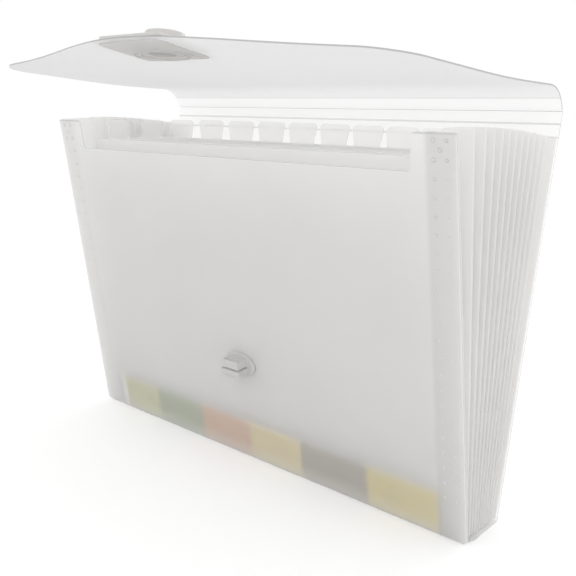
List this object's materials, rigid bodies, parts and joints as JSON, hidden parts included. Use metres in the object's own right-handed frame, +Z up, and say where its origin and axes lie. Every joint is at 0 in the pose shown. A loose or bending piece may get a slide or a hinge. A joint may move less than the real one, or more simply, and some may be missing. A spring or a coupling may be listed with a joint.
{
  "type": "expanding file folder",
  "caption": "Frosted plastic expanding file with fanned tabbed pockets, pleated side gussets, a scored cover flap with a snap clasp, and a coloured label card.",
  "frame": {"origin": "middle of the underside of the folded bottom", "axes": "+X to the right along the folder's width, +Y to the back panel, +Z up"},
  "size_m": [0.33, 0.1757, 0.2662],
  "materials": {
    "frosted_sheet": "frosted",
    "film": "frosted",
    "divider_sheet": "frosted",
    "moulded": "satin, translucent",
    "card": "matt printed card"
  },
  "bodies": {
    "folder": {"cover": "frosted_sheet", "gusset_left": "film", "gusset_right": "film", "divider_01": "divider_sheet", "divider_02": "divider_sheet", "divider_03": "divider_sheet", "divider_04": "divider_sheet", "divider_05": "divider_sheet", "divider_06": "divider_sheet", "divider_07": "divider_sheet", "divider_08": "divider_sheet", "divider_09": "divider_sheet", "divider_10": "divider_sheet", "divider_11": "divider_sheet", "divider_12": "divider_sheet", "label_card": "card", "stud": "moulded", "stud_washer": "moulded"},
    "cover_flap": {"flap": "frosted_sheet", "clasp_plate": "moulded", "clasp_cap": "moulded"}
  },
  "joints": [
    {"name": "flap_fold", "type": "hinge", "parent": "folder", "child": "cover_flap", "pos_m": [0, 0.0604, 0.2304], "axis": [1, 0, 0], "range_deg": [-200, 14]}
  ]
}
